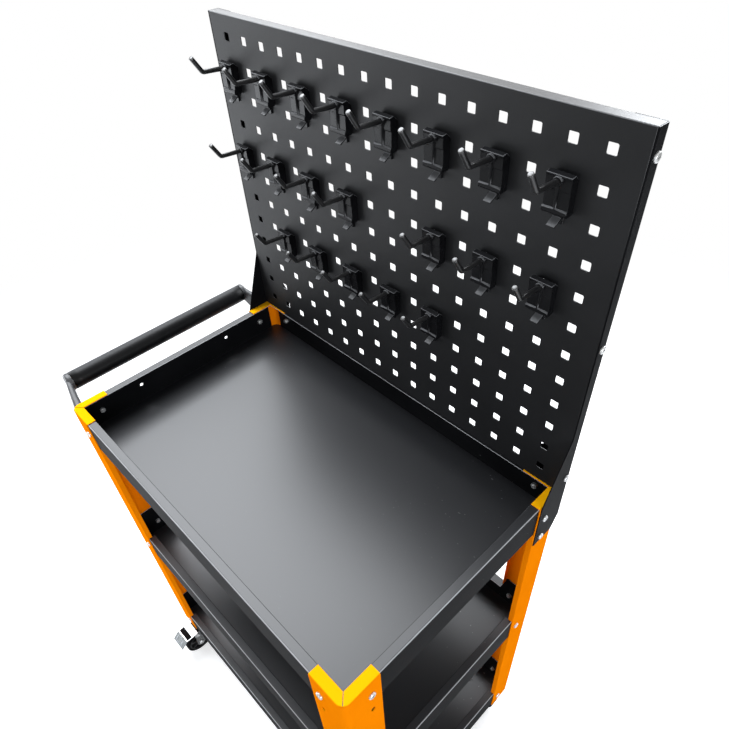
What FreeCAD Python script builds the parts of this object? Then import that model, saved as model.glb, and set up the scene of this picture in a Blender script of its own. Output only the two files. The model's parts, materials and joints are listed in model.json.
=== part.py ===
import FreeCAD, Part
import math
import os

import Sketcher
from FreeCAD import Placement, Rotation, Vector

# Tool cart with three trays on four corner posts, a pegboard standing on the rear rim,
# a push handle at the left end and four casters. Millimetres, +Z up, front towards -Y.
# Heights inside the model are measured from the top tray's rim, and the last placement
# of every piece puts the origin on the floor under the middle of the cart's outline.

driving_sizes = {
    # trays
    "tray_length": 634.0,
    "tray_width": 397.0,
    "tray_depth": 57.0,
    "tray_sheet": 1.2,
    "tray_pitch": 315.0,
    "rim_width": 13.0,
    "rear_rim_width": 15.0,
    "tray_bend": 1.8,
    "floor_corner": 12.0,
    "corner_gap": 13.6,
    "tab_height": 13.0,
    "tab_reach": 51.0,
    "tab_rounding": 6.0,
    "end_hole_radius": 3.0,
    "end_hole_spacing": 172.0,
    "end_hole_drop": 25.0,
    # corner posts
    "post_leg": 55.0,
    "post_sheet": 1.5,
    "post_bend": 12.0,
    "post_return": 8.5,
    "post_notch_gap": 0.5,
    "lip_bend": 2.0,
    "mitre_slit": 0.8,
    # pegboard and its brackets
    "panel_height": 471.5,
    "panel_depth": 15.0,
    "panel_sheet": 1.2,
    "panel_bend": 1.5,
    "peg_pitch": 38.0,
    "peg_hole": 10.5,
    "peg_hole_corner": 1.5,
    "peg_top_margin": 26.3,
    "bracket_sheet": 1.5,
    "bracket_bend": 2.4,
    "bracket_shoulder": 105.0,
    "bracket_reach": 38.0,
    "bracket_drop": 84.0,
    "bracket_heel_rise": 23.0,
    "bracket_heel_run": 13.5,
    "bracket_leg_width": 30.0,
    "bracket_foot_width": 52.0,
    "bracket_foot_top": 45.0,
    "panel_screw_low": 26.0,
    "panel_screw_middle": 242.0,
    "panel_screw_high": 447.0,
    # push handle
    "handle_reach": 65.5,
    "handle_drop": 3.0,
    "grip_radius": 15.5,
    "grip_inset": 29.5,
    "tube_radius": 12.5,
    "tube_wall": 1.5,
    "spigot_length": 24.0,
    "cap_thickness": 8.5,
    "cap_rounding": 3.5,
    "cap_seam": 0.6,
    "cap_cover": 13.3,
    "foot_thickness": 8.0,
    "foot_width": 49.0,
    "foot_top": 8.0,
    "foot_height": 78.0,
    "foot_rounding": 6.0,
    "foot_edge": 4.0,
    "arm_width": 15.0,
    "arm_sink": 1.0,
    "arm_low_margin": 4.0,
    "arm_high_margin": 1.0,
    # fasteners
    "bolt_inset": 40.0,
    "bolt_drop": 30.0,
    "lower_bolt_drop": 72.0,
    "bolt_radius": 2.5,
    "bolt_hole_radius": 3.0,
    "bolt_head_radius": 5.0,
    "bolt_head_height": 2.6,
    "bolt_head_rounding": 1.6,
    "recess_width": 1.1,
    "recess_span": 5.0,
    "recess_depth": 1.3,
    "nut_width": 8.0,
    "nut_height": 4.0,
    "bolt_stickout": 1.5,
    "slot_height": 9.0,
    # hooks
    "hook_width": 27.5,
    "hook_top": 9.5,
    "hook_bottom": 31.0,
    "hook_face": 10.5,
    "hook_wall": 2.4,
    "hook_step": 1.0,
    "hook_step_drop": 6.0,
    "hook_lip": 12.5,
    "hook_lip_height": 3.0,
    "hook_bar_height": 6.0,
    "latch_width": 9.5,
    "latch_sheet": 1.6,
    "latch_curl_drop": 4.8,
    "tongue_width": 9.0,
    "boss_radius": 4.8,
    "boss_reach": 15.0,
    "rib_width": 9.0,
    "rib_crest": 4.6,
    "rib_foot": 2.6,
    "hook_rod_radius": 3.1,
    "rod_height": 3.0,
    "rod_rise": 2.5,
    "rod_reach": 47.0,
    "rod_tip_reach": 60.0,
    "rod_tip_rise": 23.0,
    "rod_bend": 5.0,
    # casters
    "caster_height": 90.0,
    "caster_inset_x": 40.5,
    "caster_inset_y": 27.0,
    "wheel_radius": 32.5,
    "wheel_width": 24.0,
    "tyre_thickness": 5.5,
    "tyre_shoulder": 3.0,
    "rim_recess": 1.0,
    "hub_width": 26.0,
    "hub_radius": 9.0,
    "web_width": 8.0,
    "swivel_lead": 30.0,
    "plate_length": 68.0,
    "plate_width": 50.0,
    "plate_sheet": 2.5,
    "plate_corner": 6.0,
    "plate_bolts_x": 52.0,
    "plate_bolts_y": 34.0,
    "race_radius": 19.0,
    "race_depth": 2.5,
    "ball_radius": 1.9,
    "crown_radius": 22.0,
    "crown_rim": 1.8,
    "fork_sheet": 2.4,
    "fork_leg_half": 13.6,
    "axle_boss": 9.0,
    "wheel_side_gap": 2.5,
    "kingpin_radius": 5.0,
    "kingpin_head_radius": 9.0,
    "kingpin_head_height": 2.5,
    "axle_radius": 4.0,
    "axle_head_radius": 6.0,
    "axle_head_height": 2.6,
    "running_gap": 0.05,
    "swivel_gap": 0.3,
    "pedal_half_width": 19.0,
    "pedal_sheet": 2.0,
    "pedal_drop": 11.0,
    "pedal_start": 28.5,
    "pedal_fold": 59.0,
    "pedal_end": 75.0,
    "pedal_flap_drop": 15.0,
    "pedal_slot_length": 35.0,
    "pedal_slot_near": 44.5,
    "pedal_slot_far": 56.0,
    "pedal_cheek_gap": 0.5,
    "pedal_leg_gap": 2.0,
    "pedal_pad_recess": 0.4,
    "pedal_pad_lip": 1.2,
    "pedal_pad_sheet": 1.5,
    "brake_pin_radius": 2.5,
    "brake_pin_head": 4.0,
    "brake_ear": 6.0,
    "cheek_reach": 7.5,
    "cheek_drop": 5.0,
    "brake_pin_out": 31.0,
    "brake_pin_drop": 19.0,
    "shoe_half_width": 9.0,
    "shoe_thickness": 4.5,
    "shoe_gap": 0.5,
}

peg_columns = 16
peg_rows = 12
hook_columns = {1: (0, 2, 4, 6, 8, 10, 12, 14), 4: (0, 2, 4, 6, 10, 12, 14), 7: (2, 4, 6, 8, 10)}
ball_count = 14
spoke_count = 6
# The arm's cross sections: how far along they stand, how much of the way the blade has
# narrowed to the cap, and how much of the way its lower edge has risen
arm_sections = ((0.0, 0.0, 0.0), (0.3, 0.5, 0.36), (0.65, 0.85, 0.78), (1.0, 1.0, 1.0))
arm_rounding = 0.42

doc = FreeCAD.newDocument("tool_cart")
sheet = doc.addObject("Spreadsheet::Sheet", "Sizes")
for row, (alias, value) in enumerate(driving_sizes.items(), start=1):
    sheet.set(f"A{row}", alias)
    sheet.set(f"B{row}", str(value))
    sheet.setAlias(f"B{row}", alias)
doc.recompute()


class Size:
    """A length: its number, and the formula on the sheet that gives the same number."""

    def __init__(self, number, formula):
        self.number = number
        self.formula = formula

    def __float__(self):
        return float(self.number)

    def __neg__(self):
        return Size(-self.number, f"(-1 * {self.formula})")

    def __add__(self, other):
        other = as_size(other)
        return Size(self.number + other.number, f"({self.formula} + {other.formula})")

    def __sub__(self, other):
        other = as_size(other)
        return Size(self.number - other.number, f"({self.formula} - {other.formula})")

    def __mul__(self, factor):
        return Size(self.number * factor, f"({self.formula} * {factor})")

    def __truediv__(self, divisor):
        return Size(self.number / divisor, f"({self.formula} / {divisor})")


def as_size(value):
    return value if isinstance(value, Size) else Size(float(value), f"({float(value)})")


class Sheet:
    """The sheet's cells, each read by its alias as an attribute."""

    def __getattr__(self, alias):
        return Size(float(sheet.get(alias)), "Sizes." + alias)


size = Sheet()

# Places worked out from the driving sizes
half_x = size.tray_length / 2
half_y = size.tray_width / 2
post_x = half_x + size.post_sheet
post_y = half_y + size.post_sheet
levels = (as_size(0), -size.tray_pitch, -(size.tray_pitch * 2))
tray_bottom = levels[2] - size.tray_depth
bolt_x = post_x - size.bolt_inset
bolt_y = post_y - size.bolt_inset
panel_front = post_y - size.panel_depth
panel_low = size.post_sheet
panel_high = panel_low + size.panel_height
bracket_x = post_x + size.bracket_sheet
bracket_y = post_y + size.bracket_sheet
grip_x = -post_x - size.handle_reach
grip_z = -size.handle_drop
grip_half = post_y - size.grip_inset
caster_x = post_x - size.caster_inset_x
caster_y = post_y - size.caster_inset_y
outline_left = grip_x - size.grip_radius
outline_right = bracket_x + size.bolt_head_height
shift_x = -((outline_left + outline_right) / 2)
shift_z = -tray_bottom + size.caster_height


def bind(feature, prop, value):
    feature.setExpression(prop, as_size(value).formula)


def span(sign, near, far):
    """The interval from near to far, on the side of zero that sign names."""
    near, far = as_size(near), as_size(far)
    return (near, far) if sign > 0 else (-far, -near)


def box(name, x, y, z):
    """A box over three intervals."""
    solid = doc.addObject("Part::Box", name)
    for side, along, (low, high) in zip(("Length", "Width", "Height"), "xyz", (x, y, z)):
        low, high = as_size(low), as_size(high)
        bind(solid, side, high - low)
        bind(solid, f"Placement.Base.{along}", low)
    return solid


turn_to = {
    "x": Rotation(Vector(0, 1, 0), 90),
    "y": Rotation(Vector(1, 0, 0), -90),
    "z": Rotation(),
}


def cylinder(name, axis, radius, start, length):
    """A cylinder that runs from start along a positive axis."""
    solid = doc.addObject("Part::Cylinder", name)
    solid.Placement = Placement(Vector(), turn_to[axis])
    bind(solid, "Radius", radius)
    bind(solid, "Height", length)
    for along, place in zip("xyz", start):
        bind(solid, f"Placement.Base.{along}", place)
    return solid


def fuse(name, pieces):
    if len(pieces) == 1:
        return pieces[0]
    joined = doc.addObject("Part::MultiFuse", name)
    joined.Shapes = pieces
    joined.Refine = True
    return joined


def cut(name, base, tools):
    left = doc.addObject("Part::Cut", name)
    left.Base = base
    left.Tool = fuse(name + "_tools", tools)
    left.Refine = True
    return left


def fillet(name, base, *choices):
    """Round the base's edges: each choice is a radius and a test on an edge's middle."""
    doc.recompute()
    rounded = doc.addObject("Part::Fillet", name)
    rounded.Base = base
    edges = []
    for number, edge in enumerate(base.Shape.Edges, start=1):
        middle = edge.valueAt((edge.FirstParameter + edge.LastParameter) / 2)
        for radius, wanted in choices:
            if wanted(middle, edge):
                edges.append((number, float(radius), float(radius)))
                break
    rounded.Edges = edges
    return rounded


def close(a, b):
    return abs(float(a) - float(b)) < 0.01


def is_along(edge, axis):
    """Whether an edge is a straight one along the axis named."""
    if edge.Curve.TypeId != "Part::GeomLine":
        return False
    run = edge.Vertexes[-1].Point - edge.Vertexes[0].Point
    return abs(abs(getattr(run, axis)) - run.Length) < 0.001


def origin_feature(body, role):
    return next(f for f in body.Origin.OriginFeatures if f.Role == role)


def sketch_outline(body, name, role, points, offset=None):
    """A closed sketch on an origin plane of the body, each corner bound to the sheet."""
    sketch = body.newObject("Sketcher::SketchObject", name)
    sketch.AttachmentSupport = (origin_feature(body, role), [""])
    sketch.MapMode = "FlatFace"
    if offset is not None:
        bind(sketch, "AttachmentOffset.Base.z", offset)
    points = [(as_size(across), as_size(up)) for across, up in points]
    corners = [Vector(float(across), float(up), 0) for across, up in points]
    for number, corner in enumerate(corners):
        sketch.addGeometry(Part.LineSegment(corner, corners[(number + 1) % len(corners)]))
    for number in range(len(corners)):
        following = (number + 1) % len(corners)
        sketch.addConstraint(Sketcher.Constraint("Coincident", number, 2, following, 1))
    for number, place in enumerate(points):
        for kind, label, value in zip(("DistanceX", "DistanceY"), ("across", "up"), place):
            constraint = Sketcher.Constraint(kind, -1, 1, number, 1, float(value))
            index = sketch.addConstraint(constraint)
            sketch.renameConstraint(index, f"{label}{number}")
            bind(sketch, f"Constraints.{label}{number}", value)
    return sketch


def pad(body, name, sketch, length, symmetric=False, reverse=False):
    feature = body.newObject("PartDesign::Pad", name)
    feature.Profile = sketch
    bind(feature, "Length", length)
    if symmetric:
        feature.SideType = "Symmetric"
    feature.Reversed = reverse
    return feature


def revolved(name, points):
    """A body turned about its X axis, from (along, radius) points."""
    body = doc.addObject("PartDesign::Body", name)
    sketch = sketch_outline(body, name + "_profile", "XZ_Plane", points)
    turn = body.newObject("PartDesign::Revolution", name + "_turn")
    turn.Profile = sketch
    turn.ReferenceAxis = (origin_feature(body, "X_Axis"), [""])
    turn.Angle = 360
    return body


def own_shape(name, shape):
    feature = doc.addObject("Part::Feature", name)
    feature.Shape = shape
    return feature


def moved(shape, x, y, z, turn=None):
    copy = shape.copy()
    copy.Placement = Placement(Vector(float(x), float(y), float(z)), turn or Rotation())
    return copy


nodes = {}


def hand_over(node, piece, x=0, y=0, z=0, turn=None):
    """Label a finished piece and place it in the cart's frame."""
    piece.Label = node
    piece.Placement = Placement(Vector(), turn or Rotation())
    for along, place, shift in (("x", x, shift_x), ("y", y, 0), ("z", z, shift_z)):
        bind(piece, f"Placement.Base.{along}", as_size(place) + shift)
    nodes[node] = piece
    return piece


def wall_bolt_drills(name, z_places, radius, stub):
    """Drills through both long walls and both end walls at the posts' bolt places."""
    drills = []
    for number, z in enumerate(z_places):
        for sign, side in ((1, "right"), (-1, "left")):
            x = bolt_x if sign > 0 else -bolt_x
            y = bolt_y if sign > 0 else -bolt_y
            start_x, start_y = -(post_x + stub), -(post_y + stub)
            drills.append(cylinder(f"{name}_{side}_long_{number}", "y", radius,
                                   (x, start_y, z), (post_y + stub) * 2))
            drills.append(cylinder(f"{name}_{side}_end_{number}", "x", radius,
                                   (start_x, y, z), (post_x + stub) * 2))
    return drills


def caster_bolt_places():
    """Every caster bolt, as signs and offsets from the caster's axis."""
    for sx in (-1, 1):
        for sy in (-1, 1):
            for bx in (-1, 1):
                for by in (-1, 1):
                    x = caster_x * sx + size.plate_bolts_x / 2 * bx
                    y = caster_y * sy + size.plate_bolts_y / 2 * by
                    yield x, y


# Trays: folded sheet pans, open at the corners where the posts show through
def make_tray(node, level, has_tabs, holds_casters):
    sheet_low = level - size.tray_depth
    floor_top = sheet_low + size.tray_sheet
    above = level + size.tray_sheet
    blank = box(node + "_blank", (-half_x, half_x), (-half_y, half_y), (sheet_low, level))
    blank = fillet(
        node + "_bends", blank,
        (size.floor_corner, lambda middle, edge: is_along(edge, "z")),
        (size.tray_bend, lambda middle, edge: True))
    inner_x = half_x - size.tray_sheet
    inner_y = half_y - size.tray_sheet
    tools = [
        box(node + "_cavity", (-inner_x, inner_x), (-inner_y, inner_y),
            (floor_top, level - size.tray_sheet)),
        box(node + "_mouth", (size.rim_width - half_x, half_x - size.rim_width),
            (size.rim_width - half_y, half_y - size.rear_rim_width),
            (floor_top, above)),
    ]
    tabs = []
    for sx in (-1, 1):
        for sy in (-1, 1):
            label = f"{node}_{'right' if sx > 0 else 'left'}_{'rear' if sy > 0 else 'front'}"
            far_x = half_x + size.tray_sheet
            far_y = half_y + size.tray_sheet
            tools.append(box(label + "_opening", span(sx, half_x - size.corner_gap, far_x),
                             span(sy, half_y - size.corner_gap, far_y), (floor_top, above)))
            if not has_tabs:
                continue
            tab_low = level - size.tray_sheet
            tab_high = level + size.tab_height
            # The flange is left off near the corner, where its sheet stands up as a tab
            tools.append(box(label + "_relief",
                             span(sx, half_x - size.tab_reach - size.tray_sheet, inner_x),
                             span(sy, half_y - size.tab_reach - size.tray_sheet, inner_y),
                             (tab_low, above)))
            end_x = half_x - size.tab_reach
            end_y = half_y - size.tab_reach
            long_tab = box(label + "_long_tab", span(sx, end_x, half_x - size.corner_gap),
                           span(sy, inner_y, half_y), (tab_low, tab_high))
            end_tab = box(label + "_end_tab", span(sx, inner_x, half_x),
                          span(sy, end_y, half_y - size.corner_gap), (tab_low, tab_high))
            tabs.append(fillet(
                label + "_long_tab_round", long_tab,
                (size.tab_rounding, lambda middle, edge, x=sx * float(end_x), z=tab_high:
                    close(middle.x, x) and close(middle.z, z) and is_along(edge, "y"))))
            tabs.append(fillet(
                label + "_end_tab_round", end_tab,
                (size.tab_rounding, lambda middle, edge, y=sy * float(end_y), z=tab_high:
                    close(middle.y, y) and close(middle.z, z) and is_along(edge, "x"))))
    drills = wall_bolt_drills(node + "_drill", [level - size.bolt_drop],
                              size.bolt_hole_radius, size.tray_sheet)
    if not has_tabs:
        for sign in (-1, 1):
            drills.append(cylinder(
                f"{node}_end_hole_{'rear' if sign > 0 else 'front'}", "x", size.end_hole_radius,
                (-(half_x + size.tray_sheet), size.end_hole_spacing / 2 * sign,
                 level - size.end_hole_drop), size.tray_sheet * 3))
    if holds_casters:
        for number, (x, y) in enumerate(caster_bolt_places()):
            drills.append(cylinder(f"{node}_caster_drill_{number}", "z",
                                   size.bolt_hole_radius,
                                   (x, y, sheet_low - size.tray_sheet), size.tray_sheet * 3))
    pan = cut(node + "_pan", blank, tools)
    if tabs:
        pan = fuse(node + "_tabbed", [pan] + tabs)
    hand_over(node, cut(node, pan, drills))


make_tray("top_tray", levels[0], has_tabs=False, holds_casters=False)
make_tray("middle_tray", levels[1], has_tabs=True, holds_casters=False)
make_tray("bottom_tray", levels[2], has_tabs=True, holds_casters=True)


# Corner posts: folded angles whose top edges turn in over the rim as two mitred lips
def make_post(node, sx, sy):
    leg = size.post_leg
    top = size.post_sheet
    beyond = size.post_sheet
    inner_x = post_x - size.post_sheet
    inner_y = post_y - size.post_sheet
    low_x = post_x - leg
    low_y = post_y - leg
    corner_x, corner_y = sx * float(post_x), sy * float(post_y)
    blank = box(node + "_blank", span(sx, low_x, post_x), span(sy, low_y, post_y),
                (tray_bottom, top))
    blank = fillet(
        node + "_bends", blank,
        (size.post_bend, lambda middle, edge: is_along(edge, "z")
            and close(middle.x, corner_x) and close(middle.y, corner_y)),
        (size.lip_bend, lambda middle, edge: close(middle.z, top)
            and (close(middle.x, corner_x) or close(middle.y, corner_y))))
    hollow = box(node + "_hollow", span(sx, low_x - beyond, inner_x),
                 span(sy, low_y - beyond, inner_y), (tray_bottom - beyond, 0))
    inside_bend = size.post_bend - size.post_sheet
    hollow = fillet(
        node + "_hollow_bend", hollow,
        (inside_bend, lambda middle, edge: is_along(edge, "z")
            and close(middle.x, sx * float(inner_x)) and close(middle.y, sy * float(inner_y))))
    long_rim = size.rear_rim_width if sy > 0 else size.rim_width
    lip_x = inner_x - size.rim_width
    lip_y = inner_y - long_rim
    window = box(node + "_lip_window", span(sx, low_x - beyond, lip_x),
                 span(sy, low_y - beyond, lip_y), (-beyond, top + beyond))
    # The slit between the two lips, from their inner corner almost to the bend
    run = Vector(float(post_x - lip_x), float(post_y - lip_y), 0)
    slit_length = run.Length - float(size.post_bend) / 2
    slit_width = float(size.mitre_slit)
    slit = Part.makeBox(slit_length * 2, slit_width, float(top) * 3,
                        Vector(-slit_length, -slit_width / 2, 0))
    turn = Rotation(Vector(0, 0, 1), math.degrees(math.atan2(sy * run.y, sx * run.x)))
    slit = own_shape(node + "_slit", moved(slit, sx * float(lip_x), sy * float(lip_y),
                                           0, turn))
    shell = cut(node + "_shell", blank, [hollow, window, slit])
    returns = []
    gap = size.post_notch_gap
    for number in range(2):
        z = (levels[number + 1] + gap, levels[number] - size.tray_depth - gap)
        returns.append(box(f"{node}_long_return_{number}",
                           span(sx, low_x, low_x + size.post_sheet),
                           span(sy, post_y - size.post_return, inner_y), z))
        returns.append(box(f"{node}_end_return_{number}",
                           span(sx, post_x - size.post_return, inner_x),
                           span(sy, low_y, low_y + size.post_sheet), z))
    bent = fuse(node + "_bent", [shell] + returns)
    drills = []
    start_x = -(post_x + beyond) if sx < 0 else inner_x - beyond
    start_y = -(post_y + beyond) if sy < 0 else inner_y - beyond
    x = bolt_x * sx
    y = bolt_y * sy
    through = size.post_sheet * 3
    for number, level in enumerate(levels):
        z = level - size.bolt_drop
        drills.append(cylinder(f"{node}_long_drill_{number}", "y", size.bolt_hole_radius,
                               (x, start_y, z), through))
        drills.append(cylinder(f"{node}_end_drill_{number}", "x", size.bolt_hole_radius,
                               (start_x, y, z), through))
    # The lower hole of each leg is a short upright slot
    radius = size.bolt_hole_radius
    rise = size.slot_height / 2 - radius
    slot_z = -size.lower_bolt_drop
    for label, sign in (("low", -1), ("high", 1)):
        z = slot_z + rise * sign
        drills.append(cylinder(f"{node}_long_slot_{label}", "y", radius,
                               (x, start_y, z), through))
        drills.append(cylinder(f"{node}_end_slot_{label}", "x", radius,
                               (start_x, y, z), through))
    drills.append(box(node + "_long_slot", (x - radius, x + radius),
                      (start_y, start_y + through), (slot_z - rise, slot_z + rise)))
    drills.append(box(node + "_end_slot", (start_x, start_x + through),
                      (y - radius, y + radius), (slot_z - rise, slot_z + rise)))
    hand_over(node, cut(node, bent, drills))


make_post("post_front_left", -1, -1)
make_post("post_front_right", 1, -1)
make_post("post_rear_left", -1, 1)
make_post("post_rear_right", 1, 1)


# Pegboard: a shallow pan with its edges folded back and a grid of square holes
def peg_x(column):
    return size.peg_pitch * (column - (peg_columns - 1) / 2)


def peg_z(row):
    return panel_high - size.peg_top_margin - size.peg_pitch * row


def make_panel():
    node = "pegboard_panel"
    blank = box(node + "_blank", (-post_x, post_x), (panel_front, post_y),
                (panel_low, panel_high))
    blank = fillet(node + "_bends", blank,
                   (size.panel_bend, lambda middle, edge: close(middle.y, panel_front)))
    inner_x = post_x - size.panel_sheet
    behind = post_y + size.panel_sheet
    cavity = box(node + "_cavity", (-inner_x, inner_x),
                 (panel_front + size.panel_sheet, behind),
                 (panel_low + size.panel_sheet, panel_high - size.panel_sheet))
    side = float(size.peg_hole)
    punch = Part.makeBox(side, float(size.panel_sheet) * 3, side,
                         Vector(-side / 2, -float(size.panel_sheet), -side / 2))
    punch = punch.makeFillet(float(size.peg_hole_corner),
                             [edge for edge in punch.Edges if is_along(edge, "y")])
    grid = [moved(punch, peg_x(column), panel_front, peg_z(row))
            for row in range(peg_rows) for column in range(peg_columns)]
    punched = own_shape(node + "_holes", Part.makeCompound(grid))
    screw_y = panel_front + size.panel_depth / 2
    drills = [cylinder(f"{node}_screw_drill_{number}", "x", size.bolt_hole_radius,
                       (-(post_x + size.panel_sheet), screw_y, z),
                       (post_x + size.panel_sheet) * 2)
              for number, z in enumerate(panel_screw_heights)]
    pan = cut(node + "_pan", blank, [cavity] + drills)
    board = doc.addObject("Part::Cut", node)
    board.Base = pan
    board.Tool = punched
    hand_over(node, board)


panel_screw_heights = (size.panel_screw_low, size.panel_screw_middle, size.panel_screw_high)
make_panel()


# Brackets: folded angles that tie the pegboard's sides and back to the rear posts
def make_bracket(node, sign):
    top = panel_high
    knee_y = panel_front - size.bracket_reach
    heel_y = bracket_y - size.bracket_heel_run
    heel_z = -size.bracket_drop + size.bracket_heel_rise
    fold_y = bracket_y - size.bracket_sheet * 2
    side_points = [
        (bracket_y, top), (panel_front, top), (panel_front, size.bracket_shoulder),
        (knee_y, 0), (knee_y, -size.bracket_drop), (heel_y, -size.bracket_drop),
        (fold_y, heel_z), (bracket_y, heel_z)]
    body = doc.addObject("PartDesign::Body", node + "_angle")
    plate_x = post_x if sign > 0 else -bracket_x
    side = sketch_outline(body, node + "_side_outline", "YZ_Plane", side_points, plate_x)
    pad(body, node + "_side", side, size.bracket_sheet)
    leg_x = bracket_x - size.bracket_leg_width
    foot_x = bracket_x - size.bracket_foot_width
    slope = size.bracket_foot_width - size.bracket_leg_width
    rear_points = [
        (bracket_x, top), (leg_x, top), (leg_x, size.bracket_foot_top + slope),
        (foot_x, size.bracket_foot_top), (foot_x, heel_z), (bracket_x, heel_z)]
    if sign < 0:
        rear_points = [(-x, z) for x, z in rear_points]
    rear = sketch_outline(body, node + "_rear_outline", "XZ_Plane", rear_points, -post_y)
    pad(body, node + "_rear", rear, size.bracket_sheet, reverse=True)
    folded = fillet(
        node + "_fold", body,
        (size.bracket_bend, lambda middle, edge: is_along(edge, "z")
            and close(middle.x, sign * float(bracket_x)) and close(middle.y, bracket_y)))
    drills = []
    start_x = plate_x - size.bracket_sheet
    screw_y = panel_front + size.panel_depth / 2
    places = [(screw_y, z) for z in panel_screw_heights]
    places += [(bolt_y, -size.bolt_drop), (bolt_y, -size.lower_bolt_drop)]
    for number, (y, z) in enumerate(places):
        drills.append(cylinder(f"{node}_side_drill_{number}", "x", size.bolt_hole_radius,
                               (start_x, y, z), size.bracket_sheet * 3))
    drills.append(cylinder(node + "_rear_drill", "y", size.bolt_hole_radius,
                           (bolt_x * sign, post_y - size.bracket_sheet, -size.bolt_drop),
                           size.bracket_sheet * 3))
    hand_over(node, cut(node, folded, drills))


make_bracket("panel_bracket_left", -1)
make_bracket("panel_bracket_right", 1)


# Push handle: a grip on a tube, between two moulded arms with bolted feet
def rounded_section(x, y_low, y_high, z_low, z_high):
    """A rounded rectangle across X, as a closed wire."""
    radius = (y_high - y_low) * arm_rounding
    kink = radius * (1 - math.sqrt(0.5))
    corners = []
    for y, z, dy, dz in ((y_low, z_low, 1, 1), (y_high, z_low, -1, 1),
                         (y_high, z_high, -1, -1), (y_low, z_high, 1, -1)):
        corners.append((Vector(x, y + dy * radius, z), Vector(x, y + dy * kink, z + dz * kink),
                        Vector(x, y, z + dz * radius)))
    # Each corner is walked so that the outline goes round one way
    ordered = [corners[0][::-1], corners[1], corners[2][::-1], corners[3]]
    edges = []
    for number, arc in enumerate(ordered):
        edges.append(Part.Arc(*arc).toShape())
        edges.append(Part.LineSegment(arc[2], ordered[(number + 1) % 4][0]).toShape())
    return Part.Wire(edges)


def make_arm(node, sy, seat):
    """One arm, its foot standing on the face at seat, measured outwards along -X."""
    foot_face = post_x + size.foot_thickness
    outer_y = post_y - size.foot_edge
    inner_y = outer_y - size.foot_width
    foot_high = -size.foot_top
    foot_low = foot_high - size.foot_height
    foot = box(node + "_foot", (-foot_face, -seat), span(sy, inner_y, outer_y),
               (foot_low, foot_high))
    foot = fillet(node + "_foot_round", foot,
                  (size.foot_rounding, lambda middle, edge: is_along(edge, "x")),
                  (size.lip_bend, lambda middle, edge: close(middle.x, -foot_face)))
    cap_inner = grip_half
    cap_outer = cap_inner + size.cap_thickness
    cap = cylinder(node + "_cap", "y", size.grip_radius,
                   (grip_x, cap_inner if sy > 0 else -cap_outer, grip_z), size.cap_thickness)
    cap = fillet(node + "_cap_round", cap,
                 (size.cap_rounding, lambda middle, edge: close(abs(middle.y), cap_outer)
                     and edge.Curve.TypeId == "Part::GeomCircle"),
                 (size.cap_seam, lambda middle, edge: close(abs(middle.y), cap_inner)
                     and edge.Curve.TypeId == "Part::GeomCircle"))
    spigot_radius = size.tube_radius - size.tube_wall - size.running_gap
    spigot_length = size.spigot_length + size.cap_thickness / 2
    spigot_start = cap_inner - size.spigot_length
    spigot = cylinder(node + "_spigot", "y", spigot_radius,
                      (grip_x, spigot_start if sy > 0 else -(spigot_start + spigot_length),
                       grip_z), spigot_length)
    # The blade's outer side runs straight from the foot to the cap while it narrows and lifts
    start = -float(foot_face) + float(size.arm_sink)
    run = float(grip_x) - start
    cap_low = float(grip_z) - float(size.cap_cover)
    cap_high = float(grip_z) + float(size.cap_cover)
    wide, narrow = float(size.arm_width), float(size.cap_thickness)
    low = float(foot_low) + float(size.arm_low_margin)
    high = float(foot_high) - float(size.arm_high_margin)
    wires = []
    for along, narrowed, lifted in arm_sections:
        y_far = float(outer_y) + along * (float(cap_outer) - float(outer_y))
        y_near = y_far - wide - narrowed * (narrow - wide)
        z_low = low + lifted * (cap_low - low)
        z_high = high + along * (cap_high - high)
        y_pair = (y_near, y_far) if sy > 0 else (-y_far, -y_near)
        wires.append(rounded_section(start + along * run, *y_pair, z_low, z_high))
    blade = own_shape(node + "_blade", Part.makeLoft(wires, True, False))
    drills = []
    for label, drop in (("upper", size.bolt_drop), ("lower", size.lower_bolt_drop)):
        drills.append(cylinder(f"{node}_{label}_drill", "x", size.bolt_hole_radius,
                               (-foot_face - size.foot_thickness, bolt_y * sy, -drop),
                               size.foot_thickness * 3))
    arm = fuse(node + "_arm", [foot, cap, spigot, blade])
    hand_over(node, cut(node, arm, drills))


make_arm("handle_arm_front", -1, post_x)
make_arm("handle_arm_rear", 1, bracket_x)

tube_outer = cylinder("handle_tube_outer", "y", size.tube_radius,
                      (grip_x, -grip_half, grip_z), grip_half * 2)
tube_inner = cylinder("handle_tube_bore", "y", size.tube_radius - size.tube_wall,
                      (grip_x, -post_y, grip_z), post_y * 2)
hand_over("handle_tube", cut("handle_tube", tube_outer, [tube_inner]))

sleeve = cylinder("handle_grip_sleeve", "y", size.grip_radius,
                  (grip_x, -grip_half, grip_z), grip_half * 2)
sleeve_bore = cylinder("handle_grip_bore", "y", size.tube_radius + size.running_gap,
                       (grip_x, -post_y, grip_z), post_y * 2)
hand_over("handle_grip", cut("handle_grip", sleeve, [sleeve_bore]))


# Fasteners: recessed pan-head bolts with hexagon nuts
def pan_head_bolt(clamped):
    """A bolt with its head's seat at the origin and its shank down -Z."""
    head_radius = float(size.bolt_head_radius)
    head_height = float(size.bolt_head_height)
    shank = clamped + float(size.nut_height) + float(size.bolt_stickout)
    head = Part.makeCylinder(head_radius, head_height)
    head = head.makeFillet(float(size.bolt_head_rounding),
                           [edge for edge in head.Edges if close(edge.CenterOfMass.z, head_height)
                            and edge.Closed])
    body = head.fuse(Part.makeCylinder(float(size.bolt_radius), shank,
                                       Vector(0, 0, 0), Vector(0, 0, -1)))
    width, length = float(size.recess_width), float(size.recess_span)
    low = head_height - float(size.recess_depth)
    for across, along in ((width, length), (length, width)):
        bar = Part.makeBox(across, along, head_height, Vector(-across / 2, -along / 2, low))
        body = body.cut(bar)
    return body.removeSplitter()


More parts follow.
